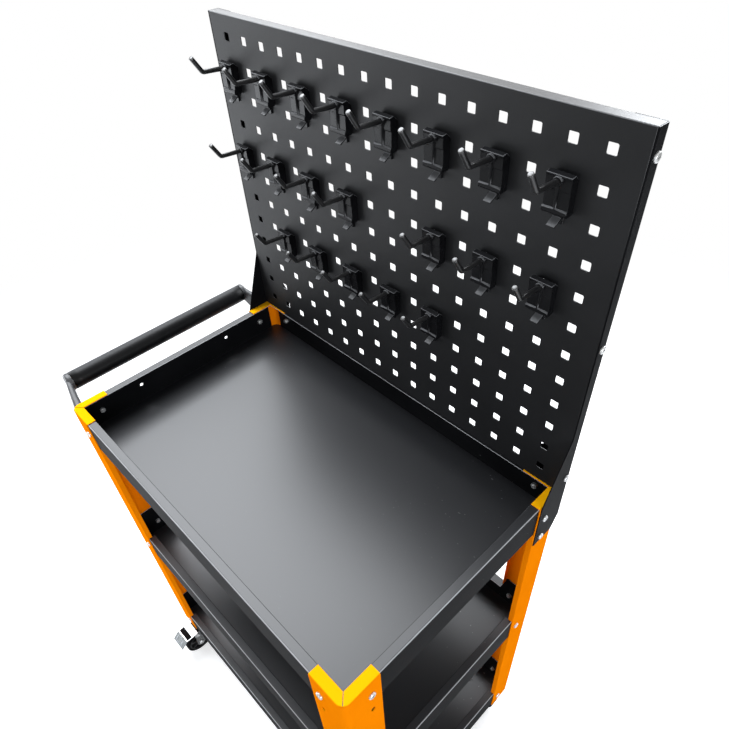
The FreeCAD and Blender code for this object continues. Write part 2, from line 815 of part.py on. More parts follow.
def hexagon_nut():
    """A nut that sits on the origin's XY plane and rises along -Z."""
    height = float(size.nut_height)
    corner = float(size.nut_width) / math.sqrt(3)
    ring = [Vector(corner * math.cos(math.radians(60 * k)),
                   corner * math.sin(math.radians(60 * k)), 0) for k in range(7)]
    prism = Part.Face(Part.makePolygon(ring)).extrude(Vector(0, 0, -height))
    bore = float(size.bolt_radius) + float(size.running_gap)
    return prism.cut(Part.makeCylinder(bore, height * 3, Vector(0, 0, -height * 2)))


point_out = {
    "+x": Rotation(Vector(0, 1, 0), 90),
    "-x": Rotation(Vector(0, 1, 0), -90),
    "+y": Rotation(Vector(1, 0, 0), -90),
    "-y": Rotation(Vector(1, 0, 0), 90),
    "+z": Rotation(),
}

outward = {"+x": (1, 0, 0), "-x": (-1, 0, 0), "+y": (0, 1, 0), "-y": (0, -1, 0),
           "+z": (0, 0, 1)}


def fastener_set(bolt_node, nut_node, places):
    """Bolts and nuts at (x, y, z, direction, clamped thickness), on the head's seat."""
    bolts, nuts = [], []
    for x, y, z, direction, clamped in places:
        clamped = float(clamped)
        seat = Vector(float(x), float(y), float(z))
        turn = point_out[direction]
        bolts.append(moved(pan_head_bolt(clamped), *seat, turn))
        nut_seat = seat - Vector(*outward[direction]) * clamped
        nuts.append(moved(hexagon_nut(), *nut_seat, turn))
    for node, shapes in ((bolt_node, bolts), (nut_node, nuts)):
        hand_over(node, own_shape(node, Part.makeCompound(shapes)))


def face(sign, axis):
    return ("+" if sign > 0 else "-") + axis


sheets = size.post_sheet + size.tray_sheet
tray_places = []
for number, level in enumerate(levels):
    z = level - size.bolt_drop
    for sx in (-1, 1):
        for sy in (-1, 1):
            has_bracket = number == 0 and sy > 0
            if not has_bracket:
                tray_places.append((bolt_x * sx, post_y * sy, z, face(sy, "y"), sheets))
            has_arm = number == 0 and sx < 0
            if not has_bracket and not has_arm:
                tray_places.append((post_x * sx, bolt_y * sy, z, face(sx, "x"), sheets))
fastener_set("tray_bolts", "tray_nuts", tray_places)

bracket_places = [
    (bracket_x, bolt_y, -size.bolt_drop, "+x", sheets + size.bracket_sheet),
    (bracket_x, bolt_y, -size.lower_bolt_drop, "+x", size.post_sheet + size.bracket_sheet),
]
for sx in (-1, 1):
    bracket_places.append((bolt_x * sx, bracket_y, -size.bolt_drop, "+y",
                           sheets + size.bracket_sheet))
fastener_set("bracket_bolts", "bracket_nuts", bracket_places)

panel_places = []
for sx in (-1, 1):
    for z in panel_screw_heights:
        panel_places.append((bracket_x * sx, panel_front + size.panel_depth / 2, z,
                             face(sx, "x"), size.bracket_sheet + size.panel_sheet))
fastener_set("panel_screws", "panel_nuts", panel_places)

foot_face_x = -(post_x + size.foot_thickness)
handle_places = []
for sy in (-1, 1):
    handle_places.append((foot_face_x, bolt_y * sy, -size.bolt_drop, "-x",
                          sheets + size.foot_thickness))
    handle_places.append((foot_face_x, bolt_y * sy, -size.lower_bolt_drop, "-x",
                          size.post_sheet + size.foot_thickness))
fastener_set("handle_bolts", "handle_nuts", handle_places)

caster_places = [(x, y, tray_bottom + size.tray_sheet, "+z", size.tray_sheet + size.plate_sheet)
                 for x, y in caster_bolt_places()]
fastener_set("caster_bolts", "caster_nuts", caster_places)


# Hooks: a hollow moulded plate held in two holes, with a bent rod in its boss.
# The form's Y runs out from the board's face and Z up from the upper hole's centre.
def make_hook_plate_form():
    name = "hook_plate_form"
    body = doc.addObject("PartDesign::Body", name)
    face_out = size.hook_face
    high_face = size.hook_face + size.hook_step
    step_z = -size.hook_step_drop
    low = -size.hook_bottom
    bar_top = low + size.hook_bar_height
    lip_low = size.hook_top - size.hook_lip_height
    slant = size.hook_lip - face_out
    profile = [
        (0, low + slant), (0, size.hook_top - size.hook_lip_height * 2),
        (size.hook_lip / 2, size.hook_top), (size.hook_lip, size.hook_top - slant / 2),
        (size.hook_lip, lip_low), (high_face, lip_low - slant / 2),
        (high_face, step_z), (face_out, step_z - size.hook_step),
        (face_out, bar_top + slant / 2), (size.hook_lip, bar_top), (size.hook_lip, low + slant),
        (face_out, low), (slant, low)]
    sketch = sketch_outline(body, name + "_profile", "YZ_Plane", profile)
    pad(body, name + "_block", sketch, size.hook_width, symmetric=True)

    hollow_half = size.hook_width / 2 - size.hook_wall
    hollow = box(name + "_hollow", (-hollow_half, hollow_half),
                 (-size.hook_wall, face_out - size.hook_wall),
                 (low + size.hook_wall + slant / 2, size.hook_top - size.hook_lip_height * 2
                  - size.hook_wall))
    shell = cut(name + "_shell", body, [hollow])

    # The tongue passes the upper hole and turns up behind the sheet
    tongue = doc.addObject("PartDesign::Body", name + "_tongue")
    hole_half = size.peg_hole / 2
    behind = -(size.panel_sheet + size.swivel_gap)
    tongue_end = behind - size.latch_sheet * 1.5
    tongue_top = hole_half - size.swivel_gap
    tongue_points = [
        (face_out - size.hook_wall / 2, tongue_top - size.latch_sheet * 2),
        (face_out - size.hook_wall / 2, tongue_top), (behind, tongue_top),
        (behind, hole_half + size.latch_sheet * 2),
        (tongue_end, hole_half + size.latch_sheet * 2),
        (tongue_end, tongue_top - size.latch_sheet * 2)]
    tongue_sketch = sketch_outline(tongue, name + "_tongue_profile", "YZ_Plane", tongue_points)
    pad(tongue, name + "_tongue_pad", tongue_sketch, size.tongue_width, symmetric=True)

    # The latch hangs under the block, curls forwards and has a peg for the lower hole
    latch = doc.addObject("PartDesign::Body", name + "_latch")
    sheet_y = size.hook_wall + size.latch_sheet
    lower_hole = -size.peg_pitch
    peg_high = lower_hole + hole_half - size.swivel_gap
    peg_low = lower_hole - hole_half + size.swivel_gap
    curl_z = peg_high - size.latch_curl_drop
    latch_points = [
        (size.hook_wall, low + size.hook_wall), (size.hook_wall, peg_high),
        (behind - size.latch_sheet, peg_high), (behind, peg_low), (size.hook_wall, peg_low),
        (size.hook_wall, curl_z + size.latch_sheet / 2),
        (size.hook_lip, curl_z - size.hook_face / 2),
        (size.hook_lip + size.latch_sheet, curl_z - size.hook_face / 2 + size.latch_sheet),
        (sheet_y, curl_z + size.latch_sheet * 1.4), (sheet_y, low + size.hook_wall)]
    latch_sketch = sketch_outline(latch, name + "_latch_profile", "YZ_Plane", latch_points)
    pad(latch, name + "_latch_pad", latch_sketch, size.latch_width, symmetric=True)

    # The boss round the rod stands on a rib that narrows down to the bar
    boss = cylinder(name + "_boss", "y", size.boss_radius,
                    (0, face_out - size.hook_wall, size.rod_height),
                    size.boss_reach - face_out + size.hook_wall)
    boss = fillet(name + "_boss_round", boss,
                  (size.hook_step, lambda middle, edge: close(middle.y, size.boss_reach)
                      and edge.Curve.TypeId == "Part::GeomCircle"))
    foot_half = float(size.rib_foot) / 2
    rib_back = float(face_out) - float(size.hook_wall) / 2
    rib_top, rib_low = float(size.rod_height), float(bar_top)
    wires = []
    for z, half, crest, out in (
            (rib_low, foot_half, foot_half / 2, float(size.hook_lip)),
            (rib_top, float(size.rib_width) / 2, float(size.rib_crest) / 2,
             float(size.boss_reach) - float(size.hook_step))):
        ring = [Vector(-half, rib_back, z), Vector(half, rib_back, z),
                Vector(crest, out, z), Vector(-crest, out, z)]
        wires.append(Part.makePolygon(ring + ring[:1]))
    rib = own_shape(name + "_rib", Part.makeLoft(wires, True, True))
    socket = cylinder(name + "_socket", "y", size.hook_rod_radius + size.running_gap,
                      (0, face_out - size.hook_wall / 2, size.rod_height),
                      size.boss_reach * 2)
    whole = fuse(name + "_whole", [shell, tongue, latch, boss, rib])
    return cut(name, whole, [socket])


def make_rod_form():
    """A round rod straight out of the boss, lifted a little and bent up at its end."""
    radius = float(size.hook_rod_radius)
    root = Vector(0, float(size.hook_face) - float(size.hook_wall) / 2, float(size.rod_height))
    collar = Vector(0, float(size.boss_reach) + radius, root.z)
    corner = Vector(0, float(size.rod_reach), root.z + float(size.rod_rise))
    tip = Vector(0, float(size.rod_tip_reach), float(size.rod_height) + float(size.rod_tip_rise))
    path = [root, collar, corner, tip]
    edges = []
    start = root
    for before, point, after, bend in ((root, collar, corner, radius * 3),
                                       (collar, corner, tip, float(size.rod_bend))):
        come = (point - before).normalize()
        go = (after - point).normalize()
        half_turn = come.getAngle(go) / 2
        trim = bend * math.tan(half_turn)
        arc_start, arc_end = point - come * trim, point + go * trim
        inward = (go - come).normalize()
        centre_gap = bend / math.cos(half_turn) - bend
        edges.append(Part.LineSegment(start, arc_start).toShape())
        edges.append(Part.Arc(arc_start, point + inward * centre_gap, arc_end).toShape())
        start = arc_end
    edges.append(Part.LineSegment(start, path[-1]).toShape())
    spine = Part.Wire(edges)
    disc = Part.Wire(Part.makeCircle(radius, root, Vector(0, 1, 0)))
    rod = spine.makePipeShell([disc], True, False)
    tip_rounding = radius / 4
    ends = [edge for edge in rod.Edges if edge.Closed and (edge.CenterOfMass - tip).Length < 0.1]
    return own_shape("hook_rod_form", rod.makeFillet(tip_rounding, ends[:1]))


hook_plate_form = make_hook_plate_form()
hook_rod_form = make_rod_form()
doc.recompute()
hook_turn = Rotation(Vector(0, 0, 1), 180)
for place, (row, columns) in zip(("upper", "middle", "lower"), hook_columns.items()):
    for kind, form in (("plates", hook_plate_form), ("rods", hook_rod_form)):
        copies = [moved(form.Shape, peg_x(column), panel_front, peg_z(row), hook_turn)
                  for column in columns]
        node = f"{place}_hook_{kind}"
        hand_over(node, own_shape(node, Part.makeCompound(copies)))


# Casters, each in its own frame: the origin on the plate's top over the swivel axis,
# the wheel trailing towards -Y and turning about X.
axle_z = size.wheel_radius - size.caster_height
leg_near = size.wheel_width / 2 + size.wheel_side_gap
leg_far = leg_near + size.fork_sheet
crown_top = -(size.plate_sheet + size.race_depth + size.ball_radius * 2 + size.running_gap)
crown_low = crown_top - size.fork_sheet
quarter_turn = Rotation(Vector(0, 0, 1), 90)
half_turn_about_z = Rotation(Vector(0, 0, 1), 180)


def plate_blank(name):
    plate = box(name + "_plate", (-(size.plate_length / 2), size.plate_length / 2),
                (-(size.plate_width / 2), size.plate_width / 2), (-size.plate_sheet, 0))
    return fillet(name + "_plate_corners", plate,
                  (size.plate_corner, lambda middle, edge: is_along(edge, "z")))


def plate_drills(name):
    drills = []
    for number, (bx, by) in enumerate(((-1, -1), (-1, 1), (1, -1), (1, 1))):
        drills.append(cylinder(f"{name}_plate_drill_{number}", "z", size.bolt_hole_radius,
                               (size.plate_bolts_x / 2 * bx, size.plate_bolts_y / 2 * by,
                                -(size.plate_sheet * 2)), size.plate_sheet * 3))
    return drills


def make_wheel(caster, place, turn, out):
    """Hub, tyre and axle of one caster; out is how far the axle lies towards -Y."""
    def settle(piece, node):
        shift = turn.multVec(Vector(0, -1, 0))
        x = place[0] + out * round(shift.x)
        y = place[1] + out * round(shift.y)
        hand_over(node, piece, x, y, place[2] + axle_z, turn)

    tread = size.wheel_radius
    seat = tread - size.tyre_thickness
    rim_inner = seat - size.tyre_thickness / 2
    hub_half = size.hub_width / 2
    tyre_half = size.wheel_width / 2
    rim_half = tyre_half - size.rim_recess
    web_half = size.web_width / 2
    bore = size.axle_radius + size.running_gap
    hub = revolved(f"{caster}_wheel_hub", [
        (-hub_half, bore), (hub_half, bore), (hub_half, size.hub_radius),
        (web_half, size.hub_radius + size.swivel_gap), (web_half, rim_inner),
        (rim_half, rim_inner + size.swivel_gap), (rim_half, seat), (-rim_half, seat),
        (-rim_half, rim_inner + size.swivel_gap), (-web_half, rim_inner),
        (-web_half, size.hub_radius + size.swivel_gap), (-hub_half, size.hub_radius)])
    hub_reach = rim_inner - size.hub_radius + size.swivel_gap * 2
    spokes = []
    for number in range(spoke_count):
        spoke = Part.makeBox(float(rim_half) * 2, float(size.fork_sheet), float(hub_reach),
                             Vector(-float(rim_half), -float(size.fork_sheet) / 2,
                                    float(size.hub_radius) - float(size.swivel_gap)))
        spokes.append(moved(spoke, 0, 0, 0, Rotation(Vector(1, 0, 0),
                                                     360 / spoke_count * number)))
    ribs = own_shape(f"{caster}_wheel_ribs", Part.makeCompound(spokes))
    settle(fuse(f"{caster}_wheel", [hub, ribs]), f"{caster}_wheel")

    shoulder = size.tyre_shoulder
    tyre = revolved(f"{caster}_tyre_ring", [
        (-tyre_half, seat), (tyre_half, seat), (tyre_half, tread), (-tyre_half, tread)])
    tyre = fillet(f"{caster}_tyre", tyre,
                  (shoulder, lambda middle, edge: edge.Curve.TypeId == "Part::GeomCircle"
                      and close(edge.Curve.Radius, tread)))
    settle(tyre, f"{caster}_tyre")

    head = size.axle_head_height
    axle = revolved(f"{caster}_axle", [
        (-(leg_far + head), 0), (leg_far + head, 0),
        (leg_far + head, size.axle_head_radius - head / 2),
        (leg_far + head / 2, size.axle_head_radius), (leg_far, size.axle_head_radius),
        (leg_far, size.axle_radius), (-leg_far, size.axle_radius),
        (-leg_far, size.axle_head_radius), (-(leg_far + head / 2), size.axle_head_radius),
        (-(leg_far + head), size.axle_head_radius - head / 2)])
    settle(axle, f"{caster}_axle")


def make_swivel_caster(caster, place, turn):
    name = f"{caster}_plate"
    race = cylinder(name + "_race", "z", size.race_radius,
                    (0, 0, -(size.plate_sheet + size.race_depth)), size.race_depth)
    shank_hole = cylinder(name + "_centre", "z", size.kingpin_radius,
                          (0, 0, crown_low), -crown_low + size.plate_sheet)
    plate = fuse(name + "_pressed", [plate_blank(name), race])
    hand_over(name, cut(name, plate, plate_drills(name) + [shank_hole]), *place, turn)

    name = f"{caster}_kingpin"
    pin_low = crown_low - size.swivel_gap
    shank = cylinder(name + "_shank", "z", size.kingpin_radius, (0, 0, pin_low), -pin_low)
    head = cylinder(name + "_head", "z", size.kingpin_head_radius,
                    (0, 0, pin_low - size.kingpin_head_height), size.kingpin_head_height)
    head = fillet(name + "_head_round", head,
                  (size.kingpin_head_height / 2, lambda middle, edge:
                      edge.Curve.TypeId == "Part::GeomCircle" and middle.z < float(pin_low) - 1))
    hand_over(name, fuse(name, [shank, head]), *place, turn)

    name = f"{caster}_bearing_balls"
    ball_ring = float(size.race_radius) - float(size.ball_radius) - float(size.running_gap)
    ball = Part.makeSphere(float(size.ball_radius))
    ball_z = float(crown_top) + float(size.ball_radius)
    balls = []
    for number in range(ball_count):
        angle = 2 * math.pi * number / ball_count
        balls.append(moved(ball, ball_ring * math.cos(angle), ball_ring * math.sin(angle), ball_z))
    hand_over(name, own_shape(name, Part.makeCompound(balls)), *place, turn)

    name = f"{caster}_fork"
    crown = cylinder(name + "_crown", "z", size.crown_radius, (0, 0, crown_low), size.fork_sheet)
    rim_high = -(size.plate_sheet + size.race_depth / 2)
    rim_outer = cylinder(name + "_rim_outer", "z", size.crown_radius, (0, 0, crown_low),
                         rim_high - crown_low)
    rim_inner = cylinder(name + "_rim_inner", "z", size.crown_radius - size.crown_rim,
                         (0, 0, crown_low - size.fork_sheet), rim_high - crown_low
                         + size.fork_sheet * 2)
    rim = cut(name + "_rim", rim_outer, [rim_inner])
    lead = size.swivel_lead
    ear = size.brake_pin_out + size.brake_ear
    ear_top = -(size.pedal_drop + size.pedal_sheet + size.pedal_leg_gap)
    boss = size.axle_boss
    leg_points = [
        (size.fork_leg_half, crown_top), (size.fork_leg_half, crown_low - boss / 2),
        (-lead + boss, axle_z - boss / 2), (-lead + boss / 2, axle_z - boss),
        (-lead - boss / 2, axle_z - boss), (-lead - boss, axle_z - boss / 2),
        (-lead - boss, axle_z + boss / 2),
        (-ear, -(size.brake_pin_drop + size.cheek_drop)), (-ear, ear_top),
        (-size.pedal_start + size.pedal_leg_gap, ear_top), (-size.fork_leg_half, crown_top)]
    legs = []
    for side, x in (("right", leg_near), ("left", -leg_far)):
        leg = doc.addObject("PartDesign::Body", f"{name}_{side}_leg")
        outline = sketch_outline(leg, f"{name}_{side}_outline", "YZ_Plane", leg_points, x)
        pad(leg, f"{name}_{side}_pad", outline, size.fork_sheet)
        legs.append(leg)
    pivot = cylinder(name + "_pivot", "z", size.kingpin_radius + size.running_gap,
                     (0, 0, crown_low - size.fork_sheet), size.fork_sheet * 3)
    axle_hole = cylinder(name + "_axle_hole", "x", size.axle_radius,
                         (-(leg_far + size.fork_sheet), -lead, axle_z),
                         (leg_far + size.fork_sheet) * 2)
    pin_hole = cylinder(name + "_pin_hole", "x", size.brake_pin_radius,
                        (-(leg_far + size.fork_sheet), -size.brake_pin_out,
                         -size.brake_pin_drop), (leg_far + size.fork_sheet) * 2)
    welded = fuse(name + "_welded", [crown, rim] + legs)
    hand_over(name, cut(name, welded, [pivot, axle_hole, pin_hole]), *place, turn)

    name = f"{caster}_brake_pin"
    cheek_far = size.pedal_half_width
    reach = cheek_far + size.swivel_gap
    pin = revolved(name, [
        (-(reach + size.pedal_sheet), 0), (reach + size.pedal_sheet, 0),
        (reach + size.pedal_sheet, size.brake_pin_head),
        (reach, size.brake_pin_head), (reach, size.brake_pin_radius),
        (-reach, size.brake_pin_radius), (-reach, size.brake_pin_head),
        (-(reach + size.pedal_sheet), size.brake_pin_head)])
    back = turn.multVec(Vector(0, -1, 0))
    hand_over(name, pin, place[0] + size.brake_pin_out * round(back.x),
              place[1] + size.brake_pin_out * round(back.y),
              place[2] - size.brake_pin_drop, turn)

    make_pedal(caster, place, turn)
    make_wheel(caster, place, turn, lead)


def make_pedal(caster, place, turn):
    """The brake pedal: a slotted plate on two cheeks, a sloping flap and a shoe below."""
    name = f"{caster}_brake_pedal"
    half = size.pedal_half_width
    top = -size.pedal_drop
    under = top - size.pedal_sheet
    start, fold, end = size.pedal_start, size.pedal_fold, size.pedal_end
    thick = size.pedal_sheet
    flap_low = top - size.pedal_flap_drop
    body = doc.addObject("PartDesign::Body", name + "_form")
    profile = [
        (-start, top), (-fold, top), (-end, flap_low), (-end, flap_low - thick * 2),
        (-end + thick, flap_low - thick * 2), (-end + thick, flap_low - thick / 2),
        (-fold + thick / 2, under), (-start, under)]
    sketch = sketch_outline(body, name + "_profile", "YZ_Plane", profile)
    pad(body, name + "_plate", sketch, half * 2, symmetric=True)
    slot_half = size.pedal_slot_length / 2
    slot = box(name + "_slot", (-slot_half, slot_half),
               (-size.pedal_slot_far, -size.pedal_slot_near), (under - thick, top + thick))
    slotted = cut(name + "_slotted", body, [slot])
    pieces = [slotted]
    cheek_near = leg_far + size.pedal_cheek_gap
    cheek_low = -(size.brake_pin_drop + size.cheek_drop)
    for side, x in (("right", (cheek_near, half)), ("left", (-half, -cheek_near))):
        pieces.append(box(f"{name}_{side}_cheek", x,
                          (-(size.brake_pin_out + size.cheek_reach), -start),
                          (cheek_low, under)))
    # The shoe hangs in front of the slot and stops just over the tread
    shoe_low = axle_z + size.wheel_radius + size.shoe_gap
    shoe_far = size.pedal_slot_near
    pieces.append(box(name + "_shoe", (-size.shoe_half_width, size.shoe_half_width),
                      (-shoe_far, -shoe_far + size.shoe_thickness), (shoe_low, under)))
    pin_hole = cylinder(name + "_pin_hole", "x", size.brake_pin_radius + size.running_gap,
                        (-half * 2, -size.brake_pin_out, -size.brake_pin_drop), half * 4)
    pedal = fuse(name + "_joined", pieces)
    hand_over(name, cut(name, pedal, [pin_hole]), *place, turn)

    # A rubber pad fills the slot and has a lip under the plate
    name = f"{caster}_pedal_pad"
    pad_half = slot_half + size.pedal_pad_lip
    tread = box(name + "_tread", (-slot_half, slot_half),
                (-size.pedal_slot_far, -size.pedal_slot_near),
                (under - size.pedal_pad_sheet, top - size.pedal_pad_recess))
    lip = box(name + "_lip", (-pad_half, pad_half),
              (-(size.pedal_slot_far + size.pedal_pad_lip), -size.pedal_slot_near),
              (under - size.pedal_pad_sheet, under))
    hand_over(name, fuse(name, [tread, lip]), *place, turn)


def make_fixed_caster(caster, place, turn):
    name = f"{caster}_fork"
    top_half = size.plate_bolts_x / 2 - size.nut_width
    boss = size.axle_boss
    leg_points = [
        (top_half, -(size.plate_sheet / 2)), (boss, axle_z - boss / 2), (boss / 2, axle_z - boss),
        (-(boss / 2), axle_z - boss), (-boss, axle_z - boss / 2),
        (-top_half, -(size.plate_sheet / 2))]
    pieces = [plate_blank(name)]
    for side, y in (("front", leg_near), ("rear", -leg_far)):
        leg = doc.addObject("PartDesign::Body", f"{name}_{side}_leg")
        outline = sketch_outline(leg, f"{name}_{side}_outline", "XZ_Plane", leg_points, y)
        pad(leg, f"{name}_{side}_pad", outline, size.fork_sheet)
        pieces.append(leg)
    axle_hole = cylinder(name + "_axle_hole", "y", size.axle_radius,
                         (0, -(leg_far + size.fork_sheet), axle_z),
                         (leg_far + size.fork_sheet) * 2)
    welded = fuse(name + "_welded", pieces)
    hand_over(name, cut(name, welded, plate_drills(name) + [axle_hole]), *place, Rotation())
    make_wheel(caster, place, turn, as_size(0))


caster_z = tray_bottom
make_swivel_caster("caster_front_left", (-caster_x, -caster_y, caster_z), Rotation())
make_swivel_caster("caster_rear_left", (-caster_x, caster_y, caster_z), half_turn_about_z)
make_fixed_caster("caster_front_right", (caster_x, -caster_y, caster_z), quarter_turn)
make_fixed_caster("caster_rear_right", (caster_x, caster_y, caster_z), quarter_turn)

doc.recompute()
failed = [item.Label for item in doc.Objects if {"Invalid", "Error"} & set(item.State)]
if failed:
    raise RuntimeError("failed: " + ", ".join(failed))
for node, piece in nodes.items():
    if piece.Shape.isNull() or not piece.Shape.isValid() or not piece.Shape.Solids:
        raise RuntimeError("no valid solid: " + node)

os.makedirs("parts", exist_ok=True)
for node, piece in nodes.items():
    piece.Shape.exportStep(f"parts/{node}.step")
    print(node, len(piece.Shape.Solids), "solid(s)", round(piece.Shape.Volume), "mm3")
print(len(nodes), "nodes")
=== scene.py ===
import json
import math

import bmesh
import bpy
import numpy as np
from mathutils import Euler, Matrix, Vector


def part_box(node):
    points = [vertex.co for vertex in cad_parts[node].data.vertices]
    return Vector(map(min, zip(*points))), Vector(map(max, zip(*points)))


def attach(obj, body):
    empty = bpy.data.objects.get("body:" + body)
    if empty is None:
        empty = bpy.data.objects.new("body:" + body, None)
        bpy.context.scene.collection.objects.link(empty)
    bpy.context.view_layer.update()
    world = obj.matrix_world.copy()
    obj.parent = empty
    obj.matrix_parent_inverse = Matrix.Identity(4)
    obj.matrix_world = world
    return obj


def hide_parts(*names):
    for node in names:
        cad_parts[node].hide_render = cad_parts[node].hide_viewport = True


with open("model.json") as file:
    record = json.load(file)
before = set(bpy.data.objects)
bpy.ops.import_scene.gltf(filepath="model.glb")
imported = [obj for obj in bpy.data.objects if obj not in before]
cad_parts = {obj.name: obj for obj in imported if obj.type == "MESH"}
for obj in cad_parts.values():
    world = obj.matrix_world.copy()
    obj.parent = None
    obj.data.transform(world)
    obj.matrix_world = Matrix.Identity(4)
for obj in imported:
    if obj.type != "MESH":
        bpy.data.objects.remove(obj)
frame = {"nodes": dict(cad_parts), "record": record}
nodes = frame["nodes"]
bodyOf = {node: body for body, held in frame["record"]["behaviour"]["bodies"].items() for node in held}
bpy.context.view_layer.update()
print("frame loaded,", len(nodes), "nodes")


# Shader graph

class Wire:                                   # one output socket, so that shader maths reads as Python
    def __init__(self, graph, socket):
        self.graph, self.socket = graph, socket

    def maths(self, operation, first, second=0.0):
        return self.graph.node("ShaderNodeMath", {"operation": operation}, {0: first, 1: second})

    def __add__(self, other):
        return self.maths("ADD", self, other)

    def __sub__(self, other):
        return self.maths("SUBTRACT", self, other)

    def __mul__(self, other):
        return self.maths("MULTIPLY", self, other)

    def __truediv__(self, other):
        return self.maths("DIVIDE", self, other)

    def __gt__(self, other):
        return self.maths("GREATER_THAN", self, other)

    def __rsub__(self, other):
        return self.maths("SUBTRACT", other, self)

    def __abs__(self):
        return self.maths("ABSOLUTE", self)

    def larger(self, other):
        return self.maths("MAXIMUM", self, other)

    __radd__ = __add__
    __rmul__ = __mul__


class Graph:                                  # a node tree that grows by one method
    def __init__(self, tree):
        self.tree = tree
        tree.nodes.clear()

    def node(self, kind, settings=None, inputs=None, output=0):
        made = self.tree.nodes.new(kind)
        for key, value in (settings or {}).items():
            if key == "stops":
                ramp = made.color_ramp.elements
                while len(ramp) < len(value):
                    ramp.new(0.5)
                for stop, (place, colour) in zip(ramp, value):
                    stop.position, stop.color = place, colour
            else:
                setattr(made, key, value)
        for key, value in (inputs or {}).items():
            if isinstance(value, Wire):
                self.tree.links.new(value.socket, made.inputs[key])
            elif value is not None:
                made.inputs[key].default_value = value
        return Wire(self, made.outputs[output]) if made.outputs else None


bendLook = {"rises": (0.20, 0.40), "falls": (0.90, 0.98)}    # how far up the faces of a bend look


class Finish(Graph):                          # a material with a principled shader at its end
    def __init__(self, name):
        self.material = bpy.data.materials.new(name)
        self.material.use_nodes = True
        super().__init__(self.material.node_tree)
        self.place = self.node("ShaderNodeTexCoord", output="Object")
        self.turned = self.node("ShaderNodeTexCoord", output="Normal")

    def noise(self, size, detail=2.0, rough=0.5, stretch=(1, 1, 1)):   # size in metres
        at = self.place
        if stretch != (1, 1, 1):
            at = self.node("ShaderNodeMapping", inputs={"Vector": at, "Scale": stretch})
        return self.node("ShaderNodeTexNoise", inputs={
            "Vector": at, "Scale": 1 / size, "Detail": detail, "Roughness": rough})

    def curve(self, value, stops):            # each stop is a place and a share
        return self.node("ShaderNodeValToRGB", {
            "stops": [(place, (share, share, share, 1)) for place, share in stops]}, {0: value})

    def ramp(self, value, low, high, first=0, last=1):
        return self.curve(value, [(low, first), (high, last)])

    def blend(self, share, first, last):
        return self.node("ShaderNodeMix", {"data_type": "RGBA"},
                         {"Factor": share, 6: first, 7: last}, output=2)

    def bump(self, height, depth, strength=1.0, normal=None):          # depth in metres
        return self.node("ShaderNodeBump", inputs={
            "Strength": strength, "Distance": depth, "Height": height, "Normal": normal})

    def spot(self, axis):                     # a coordinate in metres
        return self.node("ShaderNodeSeparateXYZ", inputs={"Vector": self.place}, output=axis)

    def facing(self, axis):                   # how far a face looks along an axis
        return self.node("ShaderNodeSeparateXYZ", inputs={"Vector": self.turned}, output=axis)

    def edge(self):                           # 1 where a bend turns from a wall to a level face
        upward = self.facing("Z")
        return self.ramp(upward, *bendLook["rises"]) * self.ramp(upward, *bendLook["falls"], 1, 0)

    def done(self, **sockets):
        words = {"colour": "Base Color", "rough": "Roughness", "metal": "Metallic",
                 "normal": "Normal", "gloss": "Specular IOR Level", "coat": "Coat Weight",
                 "coatRough": "Coat Roughness"}
        shader = self.node("ShaderNodeBsdfPrincipled",
                           inputs={words[key]: value for key, value in sockets.items()})
        self.node("ShaderNodeOutputMaterial", inputs={"Surface": shader})
        return self.material


# Finishes: sizes and depths in metres, stops are where a ramp starts and ends

coatLook = {
    "black": {
        "base": (0.0038, 0.0040, 0.0046, 1),
        "cloud": (0.0075, 0.0078, 0.0088, 1),
        "level": (0.013, 0.0135, 0.0155, 1),  # dust lies on level faces, and painted light lifts them in shade
        "edge": (0.42, 0.425, 0.44, 1),       # painted highlight along folded edges
    },
    "orange": {
        "base": (0.86, 0.226, 0.0012, 1),
        "cloud": (0.80, 0.198, 0.001, 1),
        "level": (0.93, 0.44, 0.0025, 1),     # painted light: level lips painted lighter and yellower
        # painted highlight along bends, as for the black coat
        "edge": (0.97, 0.42, 0.03, 1),
    },
    "cloudSize": 0.11,
    "cloudStops": (0.35, 0.75),
    "peelSize": 0.0016,                       # orange-peel texture of powder coat
    "peelDepth": 0.00006,
    "gritSize": 0.0006,
    "peelAndGrit": (0.8, 0.2),
    "levelStops": (0.7, 0.95),
    "levelMix": (0.9, 0.2),                   # a plain share and one that follows the clouds
    "outward": (0.6, -0.8),                   # painted highlight on the bends that look this way, to the front and right
    "outwardStops": (0.12, 0.24),
    # a share of the painted highlight that doesn't follow the clouds
    "sheenPlain": 0.5,
    "dust": (0.42, 0.42, 0.43, 1),            # stray light specks, mostly in the far corners
    "dustSize": 0.0036,
    "dustStops": (0.83, 0.86),
    "dustAcross": (0.10, 0.26),
    "dustBack": (0.0, 0.14),
    "dustMix": (0.95, 0.05),                  # a share for the corners and one for all of the floor
    "roughFrom": (0.10, 0.05, -0.08),         # what clouds, peel and level faces add
    "coatSmoother": 0.10,
}


